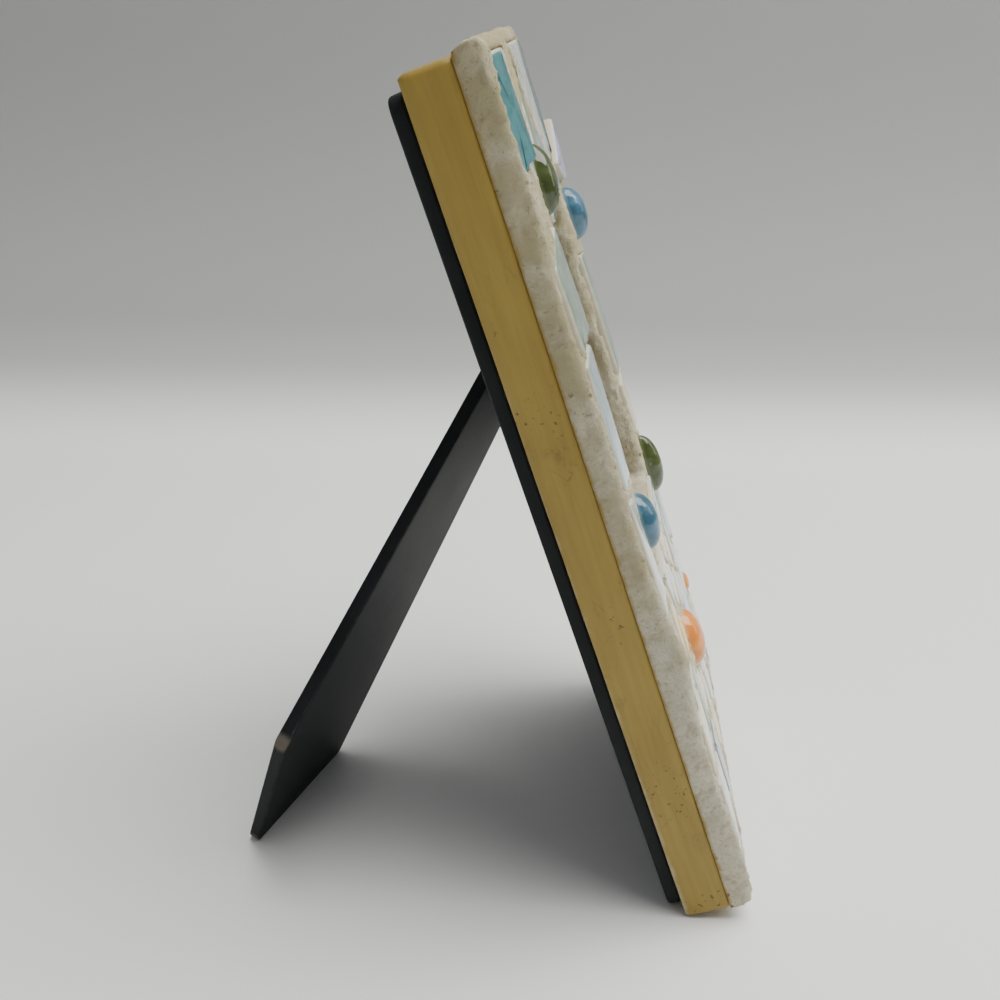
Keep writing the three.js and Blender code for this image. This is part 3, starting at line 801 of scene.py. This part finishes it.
@dataclass
class Shard:
    """A flat piece of broken tile, chipped along its arrises, with its glaze crowned over the clay."""

    node: str
    glaze: GlazeColour
    seed: float
    step: float = 0.7
    corner: float = 1.6
    jitter: float = 0.22
    crown: float = 0.22
    section: tuple[tuple[float, float, float], ...] = (
        (-0.3, 1.2, 0.0),
        (-0.1, 0.7, 0.0),
        (0.08, 0.36, 0.9),
        (0.24, 0.18, 1.0),
        (0.5, 0.07, 1.0),
        (0.9, 0.02, 1.0),
        (1.5, 0.0, 1.0),
    )

    def skin(self, solid: TileSolid) -> Skin:
        """Lofts the shard from its section, as (inset, drop, glaze) from its wall to its face."""
        outline = resample(solid.outline, self.step, self.corner)
        flat = np.column_stack([outline, np.full(len(outline), self.seed)])
        bite = grain(flat, 2.2, 3, self.seed)
        chips = np.clip(grain(flat, 5.0, 2, self.seed + 9) - 0.25, 0, None)
        depth = np.clip(bite * self.jitter + self.jitter + chips * 0.8, 0, None)
        outline = outline + (inset(outline, 1.0) - outline) * depth[:, None]
        centre = outline.mean(axis=0)
        rings = [np.column_stack([inset(outline, -0.35), np.full(len(outline), solid.seat)])]
        cover = [0.0]
        rim = [1.0]
        for distance, drop, glazed in self.section:
            ring = inset(outline, distance)
            rings.append(np.column_stack([ring, solid.height(ring) - drop]))
            cover.append(glazed)
            rim.append(1.0 - min(1.0, distance / 1.5))
        base = inset(outline, self.section[-1][0])
        for share in (0.8, 0.55, 0.28):
            ring = centre + (base - centre) * share
            sway = 0.12 * grain(np.column_stack([ring, np.full(len(ring), self.seed)]), 9.0, 2)
            rings.append(np.column_stack([ring, solid.height(ring) + self.crown * (1 - share**2) + sway]))
            cover.append(1.0)
            rim.append(0.0)
        return Skin.from_rings(rings, {"glaze": cover, "rim": rim})

    def build(self, place: Place) -> bpy.types.Object:
        """Makes the shard and dresses it."""
        skin = self.skin(TileSolid.read(self.node, place))
        return add_glazed(self.node, skin, place, self.glaze)


@dataclass
class MouldedPiece:
    """A leaf, petal or bud pressed in a mould: a full dome of glaze with a soft foot."""

    node: str
    glaze: GlazeColour
    vein: float = 0.0
    step: float = 0.6
    foot: float = GROUT_LEVEL
    rounds: int = 14

    def skin(self, solid: TileSolid) -> Skin:
        """Lofts the dome up from its foot in the grout."""
        outline = resample(solid.outline, self.step, 1.2)
        centre = outline.mean(axis=0)
        spread = outline - centre
        _, _, axes = np.linalg.svd(spread)
        rings = [np.column_stack([inset(outline, -0.3), np.full(len(outline), solid.seat)])]
        rim = [1.0]
        for k in range(self.rounds):
            angle = math.radians(88.0) * k / (self.rounds - 1)
            share = math.cos(angle) ** 0.9
            ring = centre + spread * share
            height = self.foot + (solid.crest - self.foot) * math.sin(angle)
            lift = np.full(len(ring), height)
            lift += 0.15 * math.sin(angle) * grain(np.column_stack([ring, lift]), 5.0, 2)
            across = (ring - centre) @ axes[1]
            lift -= self.vein * math.sin(angle) * np.exp(-((across / 0.55) ** 2))
            rings.append(np.column_stack([ring, lift]))
            rim.append(1.0 - math.sin(angle))
        return Skin.from_rings(rings, {"glaze": [1.0] * len(rings), "rim": rim})

    def build(self, place: Place) -> bpy.types.Object:
        """Makes the piece and dresses it."""
        skin = self.skin(TileSolid.read(self.node, place))
        return add_glazed(self.node, skin, place, self.glaze)


@dataclass
class Mosaic:
    """All the glazed pieces, each in the glaze of its CAD node's record slot."""

    place: Place

    def build(self) -> None:
        """Makes and dresses every glazed piece."""
        by_slot = {glaze.slot: glaze for glaze in GlazeColour}
        materials = {glaze: glaze.value.material(self.place) for glaze in GlazeColour}
        for count, row in enumerate(frame["record"]["subparts"]):
            glaze = by_slot.get(row["material_slot"])
            if glaze is None:
                continue
            node = row["node"]
            if node.startswith(("leaf", "petal", "bud", "flower_centre")):
                maker = MouldedPiece(node, glaze, vein=0.35 if node.startswith("leaf") else 0.0)
            else:
                maker = Shard(node, glaze, seed=3.7 * count)
            maker.build(self.place).data.materials.append(materials[glaze])


# Geometry Nodes


class Recipe:
    """A Geometry Nodes tree with named inputs for its sizes, run once to make a plain mesh."""

    def __init__(self, name: str, sizes: Sequence[str], on_mesh: bool) -> None:
        """Starts the tree.

        Args:
            name: The tree's name.
            sizes: The names of its inputs for sizes.
            on_mesh: True if it works on a mesh that it is given.
        """
        self.tree = bpy.data.node_groups.new(name, "GeometryNodeTree")
        new_socket = self.tree.interface.new_socket
        if on_mesh:
            new_socket("Geometry", in_out="INPUT", socket_type="NodeSocketGeometry")
        self.sizes = {
            size: new_socket(size, in_out="INPUT", socket_type="NodeSocketFloat").identifier for size in sizes
        }
        new_socket("Geometry", in_out="OUTPUT", socket_type="NodeSocketGeometry")
        self.entry = self.add("NodeGroupInput", {}, {})

    def add(self, kind: str, settings: dict[str, Any], inputs: dict[Any, Any]) -> bpy.types.Node:
        """Adds a node.

        Args:
            kind: The node's type.
            settings: Its settings.
            inputs: A value or another node's socket for each of its inputs.

        Returns:
            The node.
        """
        node = self.tree.nodes.new(kind)
        for key, value in settings.items():
            setattr(node, key, value)
        for key, value in inputs.items():
            if isinstance(value, bpy.types.NodeSocket):
                self.tree.links.new(value, node.inputs[key])
            else:
                node.inputs[key].default_value = value
        return node

    def end(self, spots: Any, shape: Any, material: bpy.types.Material, varied: dict[str, Any]) -> None:
        """Ends the tree with a shape on every spot, made real and dressed.

        Args:
            spots: The socket that gives the points.
            shape: The socket that gives the shape.
            material: What the shapes are made of.
            varied: Sockets for what varies from one to the next.
        """
        inputs = {"Points": spots, "Instance": shape, **varied}
        place = self.add("GeometryNodeInstanceOnPoints", {}, inputs)
        real = self.add("GeometryNodeRealizeInstances", {}, {"Geometry": place.outputs["Instances"]})
        inputs = {"Geometry": real.outputs["Geometry"], "Material": material}
        coat = self.add("GeometryNodeSetMaterial", {}, inputs)
        self.add("NodeGroupOutput", {}, {"Geometry": coat.outputs["Geometry"]})

    def run(self, source: bpy.types.Mesh, sizes: dict[str, float]) -> bpy.types.Mesh:
        """Runs the tree.

        Args:
            source: The mesh that it starts from.
            sizes: A number for each named size.

        Returns:
            The plain mesh that it makes.
        """
        maker = link_object(source.name, source)
        modifier = maker.modifiers.new(self.tree.name, "NODES")
        modifier.node_group = self.tree
        for name, value in sizes.items():
            modifier[self.sizes[name]] = value
        return baked(maker)


# The frame


@dataclass
class GroutBed:
    """The grout round the window: lumpy, gritty and pitted, with grains of sand standing out."""

    place: Place
    voxel: float = 0.98
    lump: float = 0.4
    grit: float = 0.4
    pit_size: float = 3.4
    pit_depth: float = 0.7
    grains: int = 1500
    grain_radius: float = 0.32
    foot_height: float = 0.9
    foot_sink: float = 0.25
    lining_reach: float = 3.5

    def build(self) -> None:
        """Makes the bed and its sand."""
        skin = Skin.from_node("grout_bed", self.place).remeshed(self.voxel, 2)
        normals = skin.normals()
        lumps = grain(skin.points, 6.0, 3)
        grit = grain(skin.points, 1.5, 2, 5.0)
        cells = np.array([noise.cell(Vector(p) / self.pit_size) for p in skin.points])
        pits = np.clip(grain(skin.points, self.pit_size, 1, 11.0) - 0.42, 0, None) * (cells > 0.1)
        push = self.lump * lumps + self.grit * grit - self.pit_depth * pits * 2
        exposed = skin.points[:, 2] > WOOD_THICKNESS + 0.6
        inner = (np.abs(skin.points[:, 0]) < 60) & (skin.points[:, 2] < WOOD_THICKNESS)
        push = np.where(exposed | inner, push, 0.0)
        skin.points = skin.points + normals * push[:, None]
        foot = skin.points[:, 2] < WOOD_THICKNESS + self.foot_height
        foot &= ~self._in_window(skin.points, self.lining_reach, self.lining_reach)
        skin.points[foot, 2] = WOOD_THICKNESS - self.foot_sink
        skin.values["relief"] = push
        material = SandyGrout().material(self.place)
        mesh = skin.mesh("grout", self.place)
        mesh.materials.append(material)
        piece = add_piece("grout", mesh, FRAME_BODY, "grout", ["grout_bed"])
        self._sand(piece, material)

    def _sand(self, bed: bpy.types.Object, material: bpy.types.Material) -> None:
        """Scatters coarse grains over the bed with Geometry Nodes.

        Args:
            bed: The grout piece.
            material: What the grains are made of.
        """
        recipe = Recipe("sand_grains", ("Density", "Radius"), on_mesh=True)
        given = recipe.entry.outputs
        scatter = recipe.add(
            "GeometryNodeDistributePointsOnFaces", {},
            {"Mesh": given["Geometry"], "Density": given["Density"], "Seed": 7},
        )
        size = recipe.add("FunctionNodeRandomValue", {}, {2: 0.35, 3: 1.0, "Seed": 3})
        full_turn = (6.28, 6.28, 6.28)
        turn = recipe.add("FunctionNodeRandomValue", {"data_type": "FLOAT_VECTOR"}, {1: full_turn, "Seed": 4})
        stone = recipe.add("GeometryNodeMeshIcoSphere", {}, {"Radius": given["Radius"], "Subdivisions": 1})
        varied = {"Rotation": turn.outputs[0], "Scale": size.outputs[1]}
        recipe.end(scatter.outputs["Points"], stone.outputs["Mesh"], material, varied)
        source = self._open_skin(bed)
        area = sum(p.area for p in source.polygons)
        mesh = recipe.run(source, {"Density": self.grains / area, "Radius": self.grain_radius * MILLIMETRE})
        add_piece("grout_sand", mesh, FRAME_BODY, "grout")

    @staticmethod
    def _in_window(points: np.ndarray, across: float, up: float) -> np.ndarray:
        """Says which points lie in the window grown by so much across and up."""
        inside = np.abs(points[:, 0]) < WINDOW_HALF_WIDTH + across
        return inside & (points[:, 1] > WINDOW_BOTTOM - up) & (points[:, 1] < WINDOW_TOP + up)

    def _open_skin(self, bed: bpy.types.Object) -> bpy.types.Mesh:
        """Returns the part of the bed's skin that is open to view, outside and in the window."""
        points = self.place.local(np.array([v.co[:] for v in bed.data.vertices]))
        seen = (points[:, 2] > WOOD_THICKNESS + 0.8) | (np.abs(points[:, 0]) < WINDOW_HALF_WIDTH + 4)
        seen &= points[:, 2] > 4.0
        edge = (np.abs(points[:, 0]) > HALF_WIDTH - 2) | (np.abs(points[:, 1] - HEIGHT / 2) > HEIGHT / 2 - 3)
        seen &= edge | (points[:, 2] > GROUT_LEVEL) | self._in_window(points, 0.6, 1.0)
        faces = [tuple(p.vertices) for p in bed.data.polygons if all(seen[i] for i in p.vertices)]
        return Skin(self.place.world(points), faces).mesh("sanded")


@dataclass
class WoodenFrame:
    """The thick wooden ring, sanded by hand so that its faces waver and its arrises are soft."""

    place: Place
    voxel: float = 1.15
    waver: float = 0.12

    def build(self) -> None:
        """Makes the wood and paints it."""
        skin = Skin.from_node("wood_frame", self.place).remeshed(self.voxel, 2)
        skin.points = skin.points + skin.normals() * (self.waver * grain(skin.points, 34.0, 2))[:, None]
        skin.points[:, 2] = np.minimum(skin.points[:, 2], WOOD_THICKNESS)
        mesh = skin.mesh("painted_wood", self.place)
        mesh.materials.append(PaintedWood().material(self.place))
        add_piece("painted_wood", mesh, FRAME_BODY, "painted_wood", ["wood_frame"])


@dataclass
class PaperedBoard:
    """A board wrapped in black paper, read from its CAD solid and given soft wrapped edges."""

    node: str
    body: str
    place: Place
    scuffs: tuple[Scuff, ...] = ()
    step: float = 1.6
    arris: float = 0.9
    ease: float = 2.0

    def build(self) -> None:
        """Makes the board and papers it."""
        solid = Skin.from_node(self.node, self.place).points
        low, high = float(solid[:, 2].min()), float(solid[:, 2].max())
        outline = resample(convex_outline(solid), self.step, self.ease)
        centre = outline.mean(axis=0)
        rings = []
        rim = []
        turns = [math.radians(a) for a in (0, 22, 45, 68, 90)]
        shares = (0.2, 0.4, 0.6, 0.8, 0.93)
        inner = inset(outline, self.arris)
        for share in shares:
            rings.append(np.column_stack([centre + (inner - centre) * share, np.full(len(outline), low)]))
            rim.append(0.0)
        for side, level in ((-1, low + self.arris), (1, high - self.arris)):
            for turn in turns if side < 0 else reversed(turns):
                ring = inset(outline, self.arris * (1 - math.sin(turn)))
                height = level + side * self.arris * math.cos(turn)
                rings.append(np.column_stack([ring, np.full(len(ring), height)]))
                rim.append(math.sin(2 * turn) * 0.9)
        for share in reversed(shares):
            rings.append(np.column_stack([centre + (inner - centre) * share, np.full(len(outline), high)]))
            rim.append(0.0)
        skin = Skin.from_rings(rings, {"rim": rim})
        mesh = skin.mesh(self.node, self.place)
        mesh.materials.append(BlackPaper().material(f"{self.node}_paper", self.place, self.scuffs))
        add_piece(f"papered_{self.node}", mesh, self.body, "black_paper", [self.node])


# The hinge


@dataclass
class HingeHalf:
    """One half of the hinge: a sheet leaf with round corners, its knuckles and its rivets."""

    node: str
    body: str
    place: Place
    side: int
    leaf_level: float
    knuckles: tuple[tuple[float, float], ...]
    pin: bool
    width: float = 38.0
    knuckle_radius: float = 2.1
    pin_radius: float = 0.8
    sheet: float = 0.8
    leaf_height: float = 14.0
    web_reach: float = 3.3
    rivet_radius: float = 1.8
    sheet_arris: float = 0.18
    sleeve_gap: float = 0.3
    sleeve_web_start: float = 1.4
    web_overlap: float = 1.2

    def _slab(self, outline: np.ndarray, low: float, high: float) -> Skin:
        """Returns a sheet with a soft arris from its outline."""
        arris = self.sheet_arris
        rings = [
            np.column_stack([inset(outline, distance), np.full(len(outline), level)])
            for distance, level in ((arris, low), (0.0, low + arris), (0.0, high - arris), (arris, high))
        ]
        return Skin.from_rings(rings, {"rim": [0.3, 1.0, 1.0, 0.3]})

    def _barrel(self, radius: float, start: float, stop: float, bore: float = 0.0) -> Skin:
        """Returns a knuckle or the pin, turned about the hinge's own line."""
        sides = 36
        angles = np.linspace(0, 2 * math.pi, sides, endpoint=False)
        circle = np.column_stack([np.zeros(sides), np.cos(angles), np.sin(angles)])
        soft = min(0.2, radius / 4)
        slim = radius - soft
        section = ((start, slim), (start + soft, radius), (stop - soft, radius), (stop, slim))
        rims = [0.8, 1.0, 1.0, 0.8]
        rings = [circle * (1.0, r, r) + (x, 0.0, 0.0) for x, r in section]
        if not bore:
            return Skin.from_rings(rings, {"rim": rims})
        rings += [circle * (1.0, bore, bore) + (x, 0.0, 0.0) for x in (stop, start)]
        points = np.vstack(rings)
        faces = []
        for k in range(len(rings)):
            for i in range(sides):
                j = (i + 1) % sides
                a, b = k * sides, ((k + 1) % len(rings)) * sides
                faces.append((a + i, a + j, b + j, b + i))
        return Skin(points, faces, {"rim": np.repeat(rims + [0.4, 0.4], sides)})

    def build(self) -> None:
        """Makes the leaf, the knuckles and the pin as one piece, and rivets it."""
        bottom = self.knuckle_radius + 1
        corners = [
            (-self.width / 2, bottom),
            (self.width / 2, bottom),
            (self.width / 2, bottom + self.leaf_height),
            (-self.width / 2, bottom + self.leaf_height),
        ]
        if self.side < 0:
            corners = [(x, -y) for x, y in reversed(corners)]
        outline = resample(np.array(corners), 0.5, 3.0)
        skin = self._slab(outline, self.leaf_level - self.sheet / 2, self.leaf_level + self.sheet / 2)
        for start, stop in self.knuckles:
            bore = 0.0 if self.pin else self.pin_radius + self.sleeve_gap
            skin = skin.joined(self._barrel(self.knuckle_radius, start, stop, bore))
            reach = self.side * (self.web_reach + self.web_overlap)
            base = 0.0 if self.pin else self.side * self.sleeve_web_start
            web = np.array([(start + 0.1, min(base, reach)), (stop - 0.1, min(base, reach))])
            web = np.vstack([web, [(stop - 0.1, max(base, reach)), (start + 0.1, max(base, reach))]])
            inner = self.leaf_level + self.sheet / 2
            outer = self.leaf_level - self.sheet / 2
            if not self.pin:
                inner = -self.knuckle_radius * 0.7
                web[:, 1] = np.clip(web[:, 1], -self.web_reach, None)
            skin = skin.joined(self._slab(resample(web, 0.5), outer, inner))
        if self.pin:
            skin = skin.joined(self._barrel(self.pin_radius, -self.width / 2, self.width / 2))
        mesh = skin.mesh(self.node, self.place)
        mesh.materials.append(BlackSteel().material(f"{self.node}_steel", self.place))
        add_piece(f"pressed_{self.node}", mesh, self.body, "black_steel", [self.node])
        self._rivets(mesh.materials[0])

    def _rivets(self, material: bpy.types.Material) -> None:
        """Sets a low round rivet head near each end of the leaf with Geometry Nodes."""
        recipe = Recipe(f"{self.node}_rivets", ("Radius", "Spacing"), on_mesh=False)
        given = recipe.entry.outputs
        apart = recipe.add("ShaderNodeCombineXYZ", {}, {"X": given["Spacing"]})
        line = recipe.add("GeometryNodeMeshLine", {}, {"Count": 2, "Offset": apart.outputs[0]})
        round_head = {"Segments": 28, "Rings": 14, "Radius": given["Radius"]}
        head = recipe.add("GeometryNodeMeshUVSphere", {}, round_head)
        flat = {"Scale": (1.0, 1.0, 0.5), "Geometry": head.outputs["Mesh"]}
        squash = recipe.add("GeometryNodeTransform", {}, flat)
        recipe.end(line.outputs["Mesh"], squash.outputs["Geometry"], material, {})
        sizes = {"Radius": self.rivet_radius, "Spacing": 2 * self.width / 3}
        mesh = recipe.run(bpy.data.meshes.new("rivets"), sizes)
        centre = (
            -self.width / 3,
            self.side * (self.knuckle_radius + 1 + self.leaf_height * 0.6),
            self.leaf_level - self.sheet / 2 - 0.1,
        )
        mesh.transform(self.place.matrix @ Matrix.Translation(centre))
        mesh.shade_smooth()
        add_piece(f"rivets_{self.node}", mesh, self.body, "black_steel")


@dataclass
class EaselBack:
    """The black back board, the leg and the hinge between them."""

    front: Place

    def build(self) -> None:
        """Makes every part of the easel back."""
        fixed = hinge_place(self.front, opened=False)
        opened = hinge_place(self.front, opened=True)
        PaperedBoard("back_board", FRAME_BODY, self.front).build()
        leg = Skin.from_node("easel_leg", opened).points
        side_foot = leg[leg[:, 0].argmin()]
        toe = leg[leg[:, 1].argmin()]
        scuffs = ((side_foot[0], side_foot[1], 0.0, 5.0), (toe[0], toe[1], 0.0, 4.0))
        PaperedBoard("easel_leg", LEG_BODY, opened, scuffs, step=1.0, arris=0.7, ease=1.5).build()
        half = 19.0
        knuckle = 11.0
        ends = ((-half, knuckle - half), (half - knuckle, half))
        HingeHalf("hinge_board_leaf", FRAME_BODY, fixed, 1, 1.7, ends, pin=True).build()
        middle = ((knuckle - half + 0.3, half - knuckle - 0.3),)
        HingeHalf("hinge_leg_leaf", LEG_BODY, opened, -1, -2.7, middle, pin=False).build()


@dataclass
class WindowPane:
    """The glass in the rabbet behind the window."""

    place: Place

    def build(self) -> None:
        """Gives the CAD pane its glass."""
        pane = frame["nodes"]["glass_pane"]
        pane.data.materials.clear()
        pane.data.materials.append(WindowGlass().material(self.place))
        LOG.info("glass_pane: CAD solid with a glass finish")


# The studio


@dataclass
class Studio:
    """A pale floor that sweeps up into a backdrop painted darker upward as shade, soft lights and the camera."""

    front: Place
    floor_colour: Colour = (0.93, 0.94, 0.925)
    wall_painted_shade: Colour = (0.5, 0.51, 0.5)
    upper_wall_painted_shade: Colour = (0.35, 0.355, 0.35)
    wall_distance: float = 0.39
    wall_curve: float = 0.07
    half_width: float = 1.6
    light_aim: Vector = field(default_factory=lambda: Vector((0.0, 0.0, 0.1)))
    camera_from_heel: tuple[float, float, float] = (-0.3609, 0.0375, 0.2560)
    camera_yaw: float = math.radians(3.76)
    camera_pitch: float = math.radians(22.42)
    lens: float = 43.25

    def build(self) -> None:
        """Sets everything up round the object."""
        self._sweep()
        self._lights()
        self._camera()

    def _sweep(self) -> None:
        """Makes the floor and the backdrop as one curved sheet."""
        profile = [(-1.6, 0.0), (self.wall_distance - self.wall_curve, 0.0)]
        for k in range(1, 17):
            angle = math.pi / 2 * k / 16
            profile.append((
                self.wall_distance - self.wall_curve + self.wall_curve * math.sin(angle),
                self.wall_curve * (1 - math.cos(angle)),
            ))
        profile.append((self.wall_distance, 1.4))
        points = [(x, side * self.half_width, z) for x, z in profile for side in (1, -1)]
        faces = [(2 * k, 2 * k + 1, 2 * k + 3, 2 * k + 2) for k in range(len(profile) - 1)]
        mesh = bpy.data.meshes.new("sweep")
        mesh.from_pydata(points, [], faces)
        mesh.shade_smooth()
        bench = ShaderBench("sweep_paper", Place(Matrix.Scale(MILLIMETRE, 4)))
        tooth = bench.noise(1.5, 3.0)
        rise = bench.axis("Z")
        # Painted shade: the sheet darkens from the floor's colour up the curve to the wall, and darker still
        # higher up the wall.
        paper = bench.mix(rise.step(-8.0, 45.0), self.floor_colour, self.wall_painted_shade)
        paper = bench.mix(rise.step(40.0, 260.0), paper, self.upper_wall_painted_shade)
        mesh.materials.append(bench.finish(
            Base_Color=paper,
            Roughness=0.55 + tooth * 0.1,
            Specular_IOR_Level=0.25,
            Normal=bench.bump(tooth, 0.05, 0.3),
        ))
        link_object("studio_sweep", mesh)

    def _light(self, name: str, place: Vector, size: float, power: float, colour: Colour) -> None:
        """Adds one soft square light aimed at the middle of the object.

        Args:
            name: The light's name.
            place: Where it stands, in metres.
            size: Its side in metres.
            power: Its power in watts.
            colour: Its colour.
        """
        data = bpy.data.lights.new(name, "AREA")
        data.size = size
        data.energy = power
        data.color = colour
        lamp = link_object(name, data)
        lamp.location = place
        lamp.rotation_euler = (self.light_aim - place).to_track_quat("-Z", "Y").to_euler()

    def _lights(self) -> None:
        """Adds the overhead key, a weaker one in front and the room's own light."""
        self._light("overhead", Vector((0.16, -0.4, 1.2)), 1.15, 34.0, (1.0, 0.99, 0.97))
        self._light("front", Vector((0.45, -1.0, 0.7)), 0.8, 5.0, (0.98, 0.99, 1.0))
        world = bpy.data.worlds.new("room")
        world.use_nodes = True
        background = world.node_tree.nodes["Background"]
        background.inputs["Color"].default_value = (0.98, 0.99, 1.0, 1.0)
        background.inputs["Strength"].default_value = 0.24
        bpy.context.scene.world = world

    def _camera(self) -> None:
        """Puts the camera beside the frame's left edge, a little above its top, looking down across it."""
        yaw, pitch = self.camera_yaw, self.camera_pitch
        aim = Vector((math.cos(yaw) * math.cos(pitch), math.sin(yaw) * math.cos(pitch), -math.sin(pitch)))
        data = bpy.data.cameras.new("camera")
        data.sensor_width = 36.0
        data.lens = self.lens
        data.clip_start = 0.01
        camera = link_object("camera", data)
        camera.location = Vector(self.camera_from_heel) + self.front.matrix.translation
        camera.rotation_euler = aim.to_track_quat("-Z", "Y").to_euler()
        bpy.context.scene.camera = camera


def main() -> None:
    """Builds the object and the studio, in order."""
    front = front_place()
    Studio(front).build()
    WoodenFrame(front).build()
    GroutBed(front).build()
    Mosaic(front).build()
    WindowPane(front).build()
    EaselBack(front).build()


if __name__ == "__main__":
    main()
